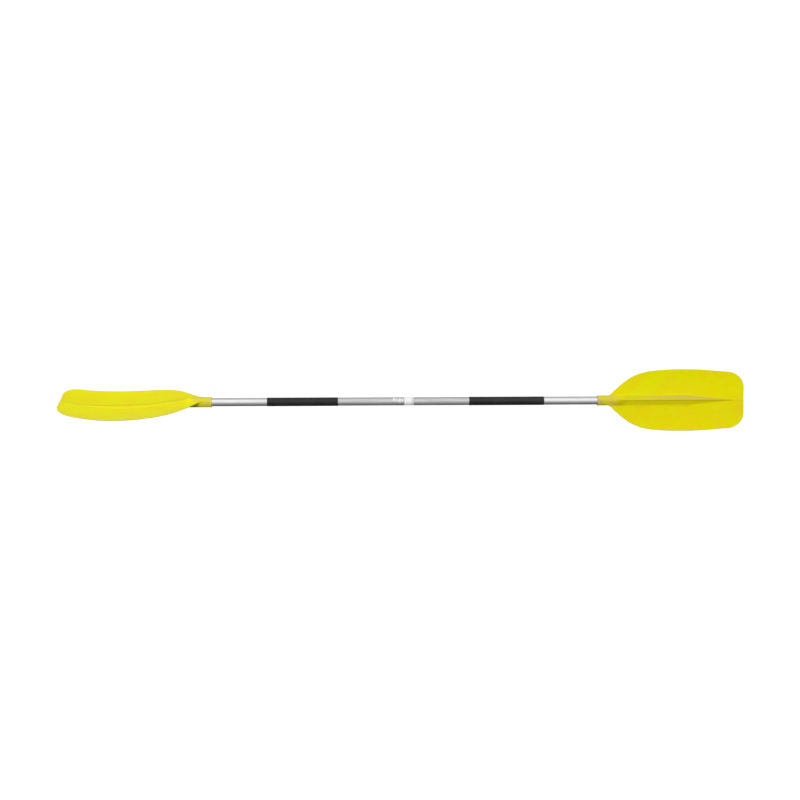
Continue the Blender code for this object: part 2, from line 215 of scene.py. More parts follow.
def turned(name, points, mat, matrix=ALONG_X, closed=True, segments=96, sharp=38.0):
    return new_piece(name, turned_mesh(name, points, matrix, closed, segments), mat, sharp)


def drill(obj, holes):
    """Cuts round holes, each (x, angle, radius), through one wall, and makes the result the mesh."""
    cutters = []
    for x, angle, radius in holes:
        profile = [(0, 0.004), (radius, 0.004), (radius, 0.03), (0, 0.03)]
        cutter = new_piece("cutter", turned_mesh("cutter", profile, outwards(x, angle), False, 40), None)
        cutters.append(cutter)
        boolean = obj.modifiers.new("hole", "BOOLEAN")
        boolean.operation = "DIFFERENCE"
        boolean.solver = "EXACT"
        boolean.object = cutter
    graph = bpy.context.evaluated_depsgraph_get()
    mesh = bpy.data.meshes.new_from_object(obj.evaluated_get(graph), depsgraph=graph)
    obj.modifiers.clear()
    obj.data = mesh
    mesh.set_sharp_from_angle(angle=math.radians(38.0))
    for cutter in cutters:
        bpy.data.objects.remove(cutter)
    return obj


# ---- shader nodes ----------------------------------------------------------------------------

class Nodes:
    """A short way to write a node tree round one Principled shader."""

    def __init__(self, name, **values):
        self.mat = bpy.data.materials.new(name)
        self.mat.use_nodes = True
        self.tree = self.mat.node_tree
        self.shader = self.tree.nodes["Principled BSDF"]
        for key, value in values.items():
            socket = self.shader.inputs[key.replace("_", " ")]
            socket.default_value = (*value, 1.0) if isinstance(value, tuple) else value

    def add(self, kind, **inputs):
        """A new node with its inputs filled, each by its name or, as i0, i1 and so on, by its number."""
        node = self.tree.nodes.new(kind)
        for key, value in inputs.items():
            by_number = key[0] == "i" and key[1:].isdigit()
            self.put(node.inputs[int(key[1:]) if by_number else key], value)
        return node

    def put(self, socket, value):
        if isinstance(value, bpy.types.NodeSocket):
            self.tree.links.new(value, socket)
        elif isinstance(value, tuple) and socket.type == "RGBA" and len(value) == 3:
            socket.default_value = (*value, 1.0)
        else:
            socket.default_value = value

    def into(self, name, value):
        self.put(self.shader.inputs[name], value)

    def place(self, attribute=None):
        """Where a point is: the object's own coordinates, or those kept in a mesh attribute."""
        if attribute:
            node = self.tree.nodes.new("ShaderNodeAttribute")
            node.attribute_name = attribute
            return node.outputs["Vector"]
        return self.tree.nodes.new("ShaderNodeTexCoord").outputs["Object"]

    def scaled(self, vector, scale, shift=(0.0, 0.0, 0.0)):
        node = self.add("ShaderNodeMapping", Vector=vector, Scale=scale, Location=shift)
        return node.outputs[0]

    def split(self, vector):
        return self.add("ShaderNodeSeparateXYZ", Vector=vector).outputs

    def noise(self, vector, scale, detail=2.0, rough=0.5):
        node = self.add("ShaderNodeTexNoise", Vector=vector, Scale=scale, Detail=detail, Roughness=rough)
        return node.outputs["Fac"]

    def math(self, operation, a, b=0.0, clamp=False):
        node = self.add("ShaderNodeMath", i0=a, i1=b)
        node.operation = operation
        node.use_clamp = clamp
        return node.outputs[0]

    def span(self, value, low, high, to_low=0.0, to_high=1.0, smooth=True):
        node = self.tree.nodes.new("ShaderNodeMapRange")
        node.interpolation_type = "SMOOTHSTEP" if smooth else "LINEAR"
        for index, number in enumerate((value, low, high, to_low, to_high)):
            self.put(node.inputs[index], number)
        return node.outputs[0]

    def times(self, first, *others):
        for other in others:
            first = self.math("MULTIPLY", first, other)
        return first

    def peak(self, value, reach, height=1.0):
        """Highest where the value is zero, and nothing further than the reach from there."""
        return self.span(self.math("ABSOLUTE", value), 0.0, reach, height, 0.0)

    def blend(self, share, a, b, kind="MIX"):
        node = self.tree.nodes.new("ShaderNodeMix")
        node.data_type = "RGBA"
        node.blend_type = kind
        self.put(node.inputs[0], share)
        self.put(node.inputs[6], a)
        self.put(node.inputs[7], b)
        return node.outputs[2]

    def bump(self, height, distance, strength=1.0, normal=None):
        node = self.add("ShaderNodeBump", Height=height, Distance=distance, Strength=strength)
        if normal:
            self.put(node.inputs["Normal"], normal)
        return node.outputs[0]


# ---- materials -------------------------------------------------------------------------------

def scratches(n, place, scale, stretch, cut, shift):
    """Thin lines where a stretched noise crosses its middle value, kept only in some patches."""
    lines = n.noise(n.scaled(place, stretch, shift), scale, 1.0)
    thin = n.peak(n.math("SUBTRACT", lines, 0.5), 0.012)
    patches = n.span(n.noise(n.scaled(place, (1.0, 1.0, 1.0), shift), scale * 0.5, 1.0), cut, cut + 0.08)
    return n.times(thin, patches)


def rib_with_painted_shade(n, color, x, y, z, rib_shade, line_shade):
    """The front of the rib, with painted shade: one facet browner than the other, the -Y one darker
    olive as if shaded, a dark crest, and a dark line at each side.
    """
    rib_half = n.span(x, RIB_TAPER_X, RIB_END_X, SPINE_HALF_WIDTH, 0.0004, smooth=False)
    from_side = n.math("SUBTRACT", n.math("ABSOLUTE", y), rib_half)
    on_rib = n.times(n.span(from_side, -0.0012, 0.0003, 1.0, 0.0), n.span(x, 0.655, 0.667))
    shade = n.times(on_rib, n.span(z, -0.001, 0.001, 0.5, 1.0), rib_shade)
    tan = n.blend(n.span(x, 0.70, 0.90), (0.765, 0.705, 0.012), (0.70, 0.59, 0.075))
    # painted shade: the -Y facet is darker olive, as if turned from the light; the +Y facet is tan
    facet = n.blend(n.span(y, -0.0006, 0.0006), (0.715, 0.650, 0.0), tan)
    color = n.blend(shade, color, facet)
    # painted shade: a dark line along the crest
    crest = n.times(n.peak(n.math("ADD", y, 0.0012), 0.0020), shade)
    color = n.blend(n.times(crest, 0.75), color, (0.44, 0.34, 0.0))
    # painted shade: a dark line along each foot of the rib
    side = n.times(n.peak(from_side, 0.0012), n.span(x, 0.66, 0.68))
    return n.blend(n.times(side, line_shade), color, (0.50, 0.40, 0.02))


def root_tint_and_painted_shadow(n, color, x, z, across):
    """The socket is browner than the plate, and the pocket behind the plate's root is darkened with a
    painted shadow.
    """
    on_socket = n.times(n.span(x, 0.650, 0.676, 0.85, 0.0), n.span(across, 0.0160, 0.0200, 1.0, 0.0))
    color = n.blend(on_socket, color, (0.74, 0.62, 0.065))
    # painted shadow: the pocket behind the plate's root is dark on both blades, seen from any side
    behind = n.times(n.span(z, -0.0034, -0.0020, 1.0, 0.0), n.span(across, 0.0070, 0.0100))
    pocket = n.times(n.span(x, 0.636, 0.652), n.span(x, 0.680, 0.710, 1.0, 0.0))
    return n.blend(n.times(behind, pocket, 0.80), color, (0.14, 0.09, 0.0))


def edge_with_painted_shade(n, color, x, across, flecks):
    """A darker line of painted shade along the hem at the tip, and a greyish rim of painted shade all
    round.
    """
    edge = n.split(n.place("blade_edge"))[0]
    from_hem = n.math("SUBTRACT", x, TIP_X - HEM_AT_TIP)
    # painted shade: a darker line at the step of the hem near the tip
    hem = n.times(n.peak(from_hem, 0.0016), n.span(across, 0.040, 0.058, 0.32, 0.0))
    color = n.blend(hem, color, (0.62, 0.52, 0.04))
    # painted shade: a darker, greyish rim along the outline
    rim = n.span(n.math("ADD", edge, n.times(flecks, 0.0008)), 0.0003, 0.0017, 0.55, 0.0)
    return n.blend(rim, color, (0.56, 0.50, 0.15))


def yellow_plastic(name, shift, rib_shade, line_shade, low_painted_light, high_painted_light):
    """Satin yellow polypropylene: clouded and handled, browner on the socket, with painted shade on the
    thick rib, behind the root and along the edge.

    The place attribute holds (distance along the blade, distance across, height over the plate's
    middle), and the edge attribute how far a point is from the outline. The last two arguments
    are painted light: factors on the colour for the blade's -Y and +Y sides.
    """
    n = Nodes(name, Specular_IOR_Level=0.28, Specular_Tint=(1.0, 0.95, 0.15))
    place = n.place("blade_place")
    x, y, z = n.split(place)
    across = n.math("ABSOLUTE", y)
    moved = n.scaled(place, (1.0, 1.0, 1.0), shift)
    clouds = n.noise(moved, 16.0, 3.0, 0.55)
    flecks = n.noise(moved, 140.0, 2.0, 0.6)
    streaks = n.noise(n.scaled(place, (1.0, 7.0, 1.0), shift), 14.0, 3.0, 0.6)
    color = n.blend(n.span(clouds, 0.36, 0.64), (0.905, 0.790, 0.0), (0.875, 0.845, 0.0))
    color = n.blend(n.span(flecks, 0.50, 0.72, 0.0, 0.16), color, (0.76, 0.66, 0.0))
    color = n.blend(n.span(streaks, 0.50, 0.75, 0.0, 0.20), color, (0.84, 0.70, 0.0))
    color = rib_with_painted_shade(n, color, x, y, z, rib_shade, line_shade)
    color = root_tint_and_painted_shadow(n, color, x, z, across)
    color = edge_with_painted_shade(n, color, x, across, flecks)

    marks = scratches(n, place, 30.0, (1.0, 9.0, 9.0), 0.52, shift)
    cross = scratches(n, place, 26.0, (7.0, 1.4, 3.0), 0.58, tuple(s + 3.0 for s in shift))
    scuffs = n.math("MAXIMUM", marks, cross)
    color = n.blend(n.times(scuffs, 0.25), color, (0.90, 0.84, 0.18))
    tip = n.times(n.span(x, 1.040, 1.066), n.span(n.noise(moved, 70.0, 4.0, 0.7), 0.42, 0.62))
    color = n.blend(n.times(tip, 0.30), color, (0.80, 0.70, 0.08))
    # painted light: the colour darkened or brightened from the blade's -Y side to its +Y side
    painted_light = n.blend(n.span(y, -0.03, 0.03), low_painted_light, high_painted_light)
    n.into("Base Color", n.blend(1.0, color, painted_light, "MULTIPLY"))

    dull = n.math("ADD", n.span(clouds, 0.3, 0.7, 0.34, 0.44), n.times(scuffs, 0.18))
    n.into("Roughness", n.math("ADD", dull, n.times(tip, 0.15), clamp=True))
    peel = n.bump(n.noise(moved, 420.0, 2.0, 0.5), 0.00010, 0.6)
    waves = n.bump(n.noise(moved, 24.0, 2.0, 0.5), 0.0012, 0.35, peel)
    n.into("Normal", n.bump(n.math("SUBTRACT", 1.0, scuffs), 0.00008, 0.5, waves))
    return n.mat


def shaft_aluminium():
    """Drawn tube: bright outside the grips, satin between them, with lengthwise drawing lines."""
    n = Nodes("shaft_aluminium", Metallic=1.0)
    place = n.place()
    outer = n.span(n.math("ABSOLUTE", n.split(place)[0]), 0.30, 0.34)
    lines = n.noise(n.scaled(place, (0.02, 1.0, 1.0)), 2600.0, 3.0, 0.6)
    bands = n.noise(n.scaled(place, (0.06, 1.0, 1.0)), 260.0, 2.0, 0.5)
    patches = n.noise(place, 22.0, 3.0, 0.6)
    satin = n.blend(n.span(bands, 0.35, 0.65), (0.555, 0.555, 0.560), (0.625, 0.625, 0.630))
    bright = n.blend(n.span(bands, 0.35, 0.65), (0.700, 0.700, 0.720), (0.770, 0.770, 0.785))
    color = n.blend(outer, satin, bright)
    color = n.blend(n.span(patches, 0.52, 0.75, 0.0, 0.22), color, (0.50, 0.50, 0.50))
    marks = scratches(n, place, 60.0, (0.20, 5.0, 5.0), 0.50, (2.0, 0.0, 1.0))
    rings = scratches(n, place, 45.0, (18.0, 0.5, 0.5), 0.55, (5.0, 2.0, 0.0))
    scuffs = n.math("MAXIMUM", marks, rings)
    n.into("Base Color", n.blend(n.times(scuffs, 0.35), color, (0.85, 0.85, 0.86)))
    base = n.math("ADD", n.times(outer, -0.20), 0.50)
    varied = n.math("ADD", base, n.span(lines, 0.3, 0.7, -0.05, 0.05))
    worn = n.math("ADD", varied, n.span(patches, 0.5, 0.75, 0.0, 0.08))
    n.into("Roughness", n.math("ADD", worn, n.times(scuffs, 0.12), clamp=True))
    drawn = n.bump(lines, 0.00002, 0.6)
    n.into("Normal", n.bump(n.math("SUBTRACT", 1.0, scuffs), 0.00004, 0.5, drawn))
    return n.mat


def plain_metal(name, low, high, roughness, scale):
    """A small metal piece: two close greys in fine lengthwise grain, with light wear."""
    n = Nodes(name, Metallic=1.0)
    place = n.place()
    grain = n.noise(n.scaled(place, (0.08, 1.0, 1.0)), scale, 4.0, 0.6)
    broad = n.noise(n.scaled(place, (0.3, 1.0, 1.0)), scale * 0.15, 2.0, 0.5)
    color = n.blend(n.span(grain, 0.35, 0.65), low, high)
    n.into("Base Color", n.blend(n.span(broad, 0.5, 0.7, 0.0, 0.3), color, (0.42, 0.41, 0.40)))
    n.into("Roughness", n.span(grain, 0.3, 0.7, roughness - 0.07, roughness + 0.09))
    n.into("Normal", n.bump(grain, 0.00003, 0.5))
    return n.mat


def grip_rubber(name, roughness):
    """Black shrunk-on sleeve: satin, with faint lengthwise stretch marks and light scratches."""
    n = Nodes(name, Specular_IOR_Level=0.40)
    place = n.place()
    stretch = n.noise(n.scaled(place, (0.12, 1.0, 1.0)), 900.0, 3.0, 0.55)
    broad = n.noise(place, 30.0, 3.0, 0.6)
    grain = n.noise(place, 2200.0, 2.0, 0.5)
    color = n.blend(n.span(broad, 0.35, 0.70), (0.0045, 0.0045, 0.0052), (0.0110, 0.0110, 0.0122))
    marks = scratches(n, place, 70.0, (1.0, 3.0, 3.0), 0.56, (1.0, 6.0, 2.0))
    n.into("Base Color", n.blend(n.times(marks, 0.4), color, (0.10, 0.10, 0.10)))
    n.into("Roughness", n.span(broad, 0.3, 0.7, roughness - 0.06, roughness + 0.08))
    fine = n.bump(grain, 0.00004, 0.5)
    n.into("Normal", n.bump(stretch, 0.00010, 0.5, fine))
    return n.mat


def white_plastic(name, high, low):
    """White nylon of the joint, a little yellowed and scuffed."""
    n = Nodes(name, Specular_IOR_Level=0.45)
    place = n.place()
    broad = n.noise(place, 120.0, 3.0, 0.6)
    grain = n.noise(place, 1500.0, 2.0, 0.5)
    color = n.blend(n.span(broad, 0.35, 0.65), high, low)
    marks = scratches(n, place, 150.0, (3.0, 1.0, 1.0), 0.55, (4.0, 0.0, 0.0))
    n.into("Base Color", n.blend(n.times(marks, 0.3), color, (0.55, 0.54, 0.50)))
    n.into("Roughness", n.span(broad, 0.3, 0.7, 0.36, 0.50))
    n.into("Normal", n.bump(grain, 0.00004, 0.5))
    return n.mat


def foam():
    """Dark closed-cell foam of the plugs inside the tubes."""
    n = Nodes("plug_foam", Specular_IOR_Level=0.2, Roughness=0.92)
    cells = n.tree.nodes.new("ShaderNodeTexVoronoi")
    cells.inputs["Scale"].default_value = 1600.0
    n.put(cells.inputs["Vector"], n.place())
    deep = cells.outputs["Distance"]
    n.into("Base Color", n.blend(n.span(deep, 0.0, 0.6), (0.020, 0.020, 0.022), (0.075, 0.075, 0.080)))
    n.into("Normal", n.bump(deep, 0.0004, 0.8))
    return n.mat


LABEL_ANGLES = (4.0, 108.0)
LABEL_CORNER_R = 0.0035
LABEL_LIFT = 0.00008
LABEL_THICKNESS = 0.00022
LABEL_BLOCKS = (  # ends along X, ends round the shaft in degrees, strength of the white
    (-0.0419, -0.0326, 22.0, 84.0, 0.80),
    (-0.0310, -0.0250, 40.0, 92.0, 0.60),
    (-0.0238, -0.0160, 30.0, 108.0, 0.75),
    (-0.0146, -0.0090, 34.0, 96.0, 0.65),
)


def block_mask(n, value, low, high, soft):
    return n.times(n.span(value, low, low + soft), n.span(value, high - soft, high, 1.0, 0.0))


def label_film():
    """Silvery film with a few plain white blocks printed on it."""
    n = Nodes("label_film", Coat_Weight=0.3, Coat_Roughness=0.15)
    place = n.place()
    x, y, z = n.split(place)
    angle = n.math("ARCTAN2", z, y)
    blocks = None
    for low_x, high_x, low_a, high_a, strength in LABEL_BLOCKS:
        along = block_mask(n, x, low_x, high_x, 0.0008)
        around = block_mask(n, angle, math.radians(low_a), math.radians(high_a), 0.12)
        block = n.times(along, around, strength)
        blocks = n.math("MAXIMUM", blocks, block) if blocks else block
    worn = n.span(n.noise(place, 700.0, 4.0, 0.65), 0.40, 0.58, 0.80, 1.0)
    ink = n.times(blocks, worn)
    brushed = n.noise(n.scaled(place, (0.05, 1.0, 1.0)), 900.0)
    film = n.blend(brushed, (0.54, 0.54, 0.55), (0.62, 0.62, 0.63))
    n.into("Base Color", n.blend(ink, film, (0.92, 0.92, 0.92)))
    n.into("Metallic", n.math("SUBTRACT", 0.95, n.times(ink, 0.95), clamp=True))
    n.into("Roughness", n.span(n.noise(place, 90.0, 2.0), 0.3, 0.7, 0.36, 0.46))
    return n.mat


# ---- blades ----------------------------------------------------------------------------------

OUTLINE = (  # distance from the middle of the shaft, half-width
    (0.600, 0.0030),
    (0.6380, 0.0165),
    (0.6505, 0.0274),
    (0.6758, 0.0493),
    (0.7061, 0.0711),
    (0.7466, 0.0871),
    (0.7971, 0.0947),
    (0.8598, 0.0976),
    (0.9356, 0.0962),
    (TIP_X - TIP_CORNER_R, 0.0897),
)
SPOON_X = 0.905
SPOON_CURVE = (-0.0184, 0.0164, 0.70, 0.92)
DISH_DEPTH = 0.0080
RIB_HEIGHT = 0.0040
RIB_DEPTH = 0.0075
RIB_TAPER_X = 0.900
RIB_END_X = 1.040
HEM_HEIGHT = 0.0005
HEM_AT_TIP = 0.0075
HEM_AT_SIDE = 0.0040
SECTION_RAYS = 3001
LONGEST_RAY = 0.15
RAY_HALVINGS = 34
SECTION_POINTS = (16, 24, 24, 18)  # over the rib, over the plate, under the plate, under the rib


def outline_slope(i):
    a, b = OUTLINE[max(i - 1, 0)], OUTLINE[min(i + 1, len(OUTLINE) - 1)]
    return (b[1] - a[1]) / (b[0] - a[0])


def half_width(x):
    """The plate's half-width at x: a curve through OUTLINE, then a round corner to the square tip."""
    corner_x, corner_y = OUTLINE[-1]
    if x >= corner_x:
        across = min((x - corner_x) / TIP_CORNER_R, 1.0)
        return corner_y - TIP_CORNER_R * (1 - math.sqrt(1 - across * across))
    i = max(n for n in range(len(OUTLINE) - 1) if OUTLINE[n][0] <= x or n == 0)
    (x0, y0), (x1, y1) = OUTLINE[i], OUTLINE[i + 1]
    t = (x - x0) / (x1 - x0)
    m0, m1 = outline_slope(i) * (x1 - x0), outline_slope(i + 1) * (x1 - x0)
    t2, t3 = t * t, t * t * t
    return (2 * t3 - 3 * t2 + 1) * y0 + (t3 - 2 * t2 + t) * m0 + (3 * t2 - 2 * t3) * y1 + (t3 - t2) * m1


def spoon(x):
    return sum(term * (x - SPOON_X) ** n for n, term in enumerate(SPOON_CURVE))


def smooth_union(a, b, reach):
    h = np.maximum(reach - np.abs(a - b), 0.0) / reach
    return np.minimum(a, b) - h * h * reach / 4


def blade_stations():
    """Stations along the blade, close together where its shape turns quickly."""
    root = np.linspace(SOCKET_X + 0.0016, 0.700, 52)
    middle = np.linspace(0.700, TIP_X - TIP_CORNER_R, 84)[1:]
    corner = TIP_X - TIP_CORNER_R + (TIP_CORNER_R - 0.004) * np.sin(np.linspace(0, math.pi / 2, 22))[1:]
    edge = TIP_X - 0.004 + 0.004 * np.sin(np.linspace(0, math.pi / 2, 10))[1:]
    return np.concatenate([root, middle, corner, edge])


def plate_distance(x, y, z, half):
    """Signed distance to the plate's section, with its round edge and the raised hem."""
    at_tip = np.clip((TIP_X - x) / HEM_AT_TIP, 0, 9)
    at_side = np.clip((half - y) / HEM_AT_SIDE, 0, 9)
    hem = HEM_HEIGHT * smooth_step(np.minimum(at_tip, at_side), 1.15, 0.85)
    hem = hem * smooth_step(x, 0.69, 0.74)
    thin = PLATE_THICKNESS / 2
    from_end = np.clip((x - (TIP_X - thin)) / thin, 0.0, 1.0)
    thick = (thin + hem) * np.sqrt(np.maximum(1 - from_end ** 2, 1e-8))
    over_y = np.maximum(y - (half - thick), 0.0)
    return np.hypot(over_y, z) - thick


def spine_distance(x, y, z, true_z):
    """Signed distance to the socket, which turns into a low roof in front and a round rib behind."""
    lip = SOCKET_LIP * smooth_step(x, SOCKET_X + 0.0075, SOCKET_X + 0.0060)
    socket_front = np.hypot(y, np.maximum(true_z, 0)) - SOCKET_R - lip
    socket_back = np.hypot(y, np.minimum(true_z, 0)) - SOCKET_R - lip
    fade = 1 - smooth_step(x, RIB_TAPER_X - 0.03, RIB_END_X)
    narrow = np.clip((RIB_END_X - x) / (RIB_END_X - RIB_TAPER_X), 0.02, 1.0)
    width = SPINE_HALF_WIDTH * np.minimum(narrow, 1.0)
    height = RIB_HEIGHT * np.minimum(1.0, narrow * 1.15)
    skin = PLATE_THICKNESS / 2
    slope = height / width
    front = np.maximum((z - skin - height * (1 - y / width)) / np.sqrt(1 + slope * slope), y - width)
    depth = skin + RIB_DEPTH * fade
    behind = (np.hypot(y / width, np.minimum(z, 0) / depth) - 1) * np.minimum(depth, width)
    leave = smooth_step(x, TUBE_END_X + 0.001, TUBE_END_X + 0.036)
    leave_back = smooth_step(x, TUBE_END_X + 0.010, TUBE_END_X + 0.190)
    return np.maximum(mix(socket_front, front, leave), mix(socket_back, behind, leave_back))


def blade_distance(x, y, z, middle, half, dish):
    """z is counted from the section's middle, with the dish taken out."""
    true_z = middle + z + dish * (y / BLADE_HALF_WIDTH) ** 2
    plate = plate_distance(x, y, z, half)
    spine = spine_distance(x, y, z, true_z)
    reach = mix(0.0070, 0.0022, smooth_step(z, -0.001, 0.001))
    reach = np.where(x < 0.74, np.maximum(reach, 0.0050), reach)
    return smooth_union(plate, spine, reach)


def half_sections(stations):
    """For each station, a fine line from the front's middle round the edge to the back's middle.

    Rays leave the section's middle, crowded towards its edge, and each is halved until it ends on
    the surface.
    """
    t = np.linspace(1, -1, SECTION_RAYS)
    angle = np.sign(t) * np.abs(t) ** 3 * math.pi / 2
    x = stations[:, None]
    half = np.array([half_width(s) for s in stations])[:, None]
    middle = np.minimum(spoon(x), 0.0100)
    dish = DISH_DEPTH * smooth_step(x, 0.630, 0.700)
    low = np.zeros((len(stations), len(t)))
    high = low + LONGEST_RAY
    for _ in range(RAY_HALVINGS):
        r = (low + high) / 2
        outside = blade_distance(x, r * np.cos(angle), r * np.sin(angle), middle, half, dish) > 0
        high = np.where(outside, r, high)
        low = np.where(outside, low, r)
    y = high * np.cos(angle)
    z = middle + high * np.sin(angle) + dish * (y / BLADE_HALF_WIDTH) ** 2
    return y, z


def spread_points(y, z, counts):
    """Points along one half-section, the counts given for its four stretches."""
    edge = len(y) // 2
    reach = y[edge]
    wide = float(smooth_step(reach, 0.016, 0.030))
    inner = mix(0.72 * reach, SPINE_HALF_WIDTH * 1.10, wide)
    first = int(np.argmax(y >= inner))
    last = edge + int(np.argmax(y[edge:] < inner))
    length = np.concatenate([[0], np.cumsum(np.hypot(np.diff(y), np.diff(z)))])
    marks = [length[0], length[first], length[edge], length[last], length[-1]]
    where = []
    for n, count in enumerate(counts):
        share = np.linspace(0, 1, count + 1)[:-1]
        if n == 1:
            share = 1 - (1 - share) ** mix(1.0, 1.9, wide)
        if n == 2:
            share = share ** mix(1.0, 1.9, wide)
        where.append(mix(marks[n], marks[n + 1], share))
    where = np.concatenate(where + [[marks[-1]]])
    return np.interp(where, length, y), np.interp(where, length, z)


def blade_rings():
    """The blade's rings in its own frame, from deep in the bore, round the socket's lip, to the tip."""
    stations = blade_stations()
    ys, zs = half_sections(stations)
    rings = []
    for x, y, z in zip(stations, ys, zs):
        py, pz = spread_points(y, z, SECTION_POINTS)
        side = [(x, a, b) for a, b in zip(py, pz)]
        other = [(x, -a, b) for a, b in zip(py[1:-1][::-1], pz[1:-1][::-1])]
        rings.append(side + other)
    mouth = [Vector(p[1:]).normalized() for p in rings[0]]
    outer, bore = SOCKET_R + SOCKET_LIP, SHAFT_R + FIT_GAP
    lip = [(TUBE_END_X + FIT_GAP, bore), (SOCKET_X + 0.010, bore), (SOCKET_X + 0.0008, bore)]
    lip += [(SOCKET_X, bore + 0.0006), (SOCKET_X, outer - 0.0012), (SOCKET_X + 0.0004, outer - 0.0003)]
    inside = [[(x, d.x * r, d.y * r) for d in mouth] for x, r in lip]
    return inside + rings


def blade(name, matrix, body, mat, node):
    """One moulded blade, its place in its own frame kept for the material."""
    bm = bmesh.new()
    rows = [[bm.verts.new(p) for p in ring] for ring in blade_rings()]
    join_rows(bm, rows)
    bm.faces.new(rows[0])
    bmesh.ops.remove_doubles(bm, verts=rows[-1] + rows[-2], dist=0.00002)
    mesh = finished(bm, name)
    points = [v.co.copy() for v in mesh.vertices]
    places = mesh.attributes.new("blade_place", "FLOAT_VECTOR", "POINT")
    edges = mesh.attributes.new("blade_edge", "FLOAT_VECTOR", "POINT")
    for i, (x, y, z) in enumerate(points):
        from_edge = min(half_width(x) - abs(y), TIP_X - x) if x > OUTLINE[2][0] else 1.0
        places.data[i].vector = (x, y, z - spoon(x))
        edges.data[i].vector = (from_edge, 0, 0)
    mesh.transform(matrix)
    return seat(new_piece(name, mesh, mat, 50.0), body, "blade_plastic", node)


def blades():
    turned_back = Matrix.Rotation(math.radians(-FEATHER), 4, "X") @ Matrix.Rotation(math.pi, 4, "Z")
    # painted light: the right blade darker on its -Y side, the left brighter, most on its +Y side; the
    # rib's painted shade differs too
    painted_lights = ((0.93, 0.90, 0.80), (1.0, 1.0, 1.0))
    right = yellow_plastic("blade_yellow_right", (0.0, 0.0, 0.0), 1.0, 0.12, *painted_lights)
    painted_lights = ((1.03, 1.04, 0.90), (1.08, 1.10, 0.85))
    left = yellow_plastic("blade_yellow_left", (7.0, 3.0, 5.0), 0.05, 0.60, *painted_lights)
    blade("blade_right_moulding", Matrix(), "right_half", right, "blade_right")
    blade("blade_left_moulding", turned_back, "left_half", left, "blade_left")


# ---- shaft, grips and joint --------------------------------------------------------------------

def tube_profile(low, high, outer, inner, edge):
    return soften([(outer, high), (outer, low), (inner, low), (inner, high)], edge, 3)


def shafts(metal):
    for side, body in (("left", "left_half"), ("right", "right_half")):
        low, high = (v.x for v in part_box(f"shaft_{side}"))
        profile = tube_profile(low, high, SHAFT_R, TUBE_INNER_R, 0.0003)
        tube = turned(f"tube_{side}", profile, metal, segments=128)
        holes = BUTTON_HOLES if side == "left" else FERRULE_RIVET_HOLES
        seat(drill(tube, holes), body, "shaft_aluminium", f"shaft_{side}")


def grip_profile(low, high):
    """A sleeve's section: rolled ends, three low rings near each end, and a plain stretch between."""
    inner = SHAFT_R + GRIP_GAP
    skin = inner + GRIP_WALL
    outside = [(skin - 0.0003, low), (skin - 0.00005, low + 0.0006), (skin, low + 0.0014)]
    rings = [low + d for d in RING_PLACES] + [high - d for d in RING_PLACES[::-1]]
    for middle in rings:
        start = middle - RING_WIDTH / 2
        for n in range(7):
            bump = RING_HEIGHT * math.sin(math.pi * n / 6) ** 2
            outside.append((skin + bump, start + RING_WIDTH * n / 6))
        if middle == rings[2]:
            end = middle + RING_WIDTH / 2
            gap = rings[3] - rings[2] - RING_WIDTH
            outside += [(skin, end + gap * i / 24) for i in range(1, 24)]
    outside += [(skin, high - 0.0014), (skin - 0.00005, high - 0.0006), (skin - 0.0003, high)]
    return outside[::-1] + [(inner, low), (inner, high)]


def grips():
    for side, body, roughness in (("left", "left_half", 0.46), ("right", "right_half", 0.24)):
        rubber = grip_rubber(f"grip_rubber_{side}", roughness)
        low, high = (v.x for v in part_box(f"grip_{side}"))
        sleeve = turned(f"sleeve_{side}", grip_profile(low, high), rubber)
        seat(sleeve, body, "grip_sleeve", f"grip_{side}")


def collar_liner(white):
    """The left tube's liner, which ends in a flush collar outside it."""
    low, high = (v.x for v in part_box("socket_bushing"))
    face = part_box("shaft_left")[1].x + FIT_GAP
    lip = 0.0004
    points = soften([
        (SHAFT_R, high, 0.0009), (SHAFT_R, face, 0.0003), (SLEEVE_R, face, 0),
        (SLEEVE_R, low, lip), (SLEEVE_INNER_R, low, lip), (SLEEVE_INNER_R, high, lip),
    ], lip)
    liner = drill(turned("collar_liner", points, white, segments=128), BUTTON_HOLES)
    seat(liner, "left_half", "joint_plastic", "socket_bushing")


def loose_ring(grey):
    low, high = (v.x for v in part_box("joint_ring"))
    profile = tube_profile(low, high, SHAFT_R, FERRULE_R + FIT_GAP, 0.0011)
    seat(turned("loose_ring", profile, grey), "joint_ring", "joint_plastic", "joint_ring")


def ferrule(metal, white):
    """The tube that slides into the left half, and the plug in its free end."""
    low, high = (v.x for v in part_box("ferrule_tube"))
    tube = turned("ferrule", tube_profile(low, high, FERRULE_R, FERRULE_INNER_R, 0.0003), metal)
    drill(tube, BUTTON_HOLES[:1] + FERRULE_RIVET_HOLES)
    seat(tube, "right_half", "ferrule_aluminium", "ferrule_tube")
    spigot, inside = FERRULE_INNER_R - FIT_GAP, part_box("ferrule_cap")[1].x
    face = low - FIT_GAP
    points = soften([
        (0, inside), (spigot, inside, 0.0008), (spigot, face, 0), (FERRULE_R, face, 0.0003),
        (FERRULE_R, face - 0.0035, 0.0018), (0.0052, face - 0.0035, 0.0004),
        (0.0046, face - 0.0027, 0.0003), (0, face - 0.0027),
    ], 0.0003, 4, False)
    cap = turned("ferrule_end_plug", points, white, closed=False)
    seat(cap, "right_half", "joint_plastic", "ferrule_cap")


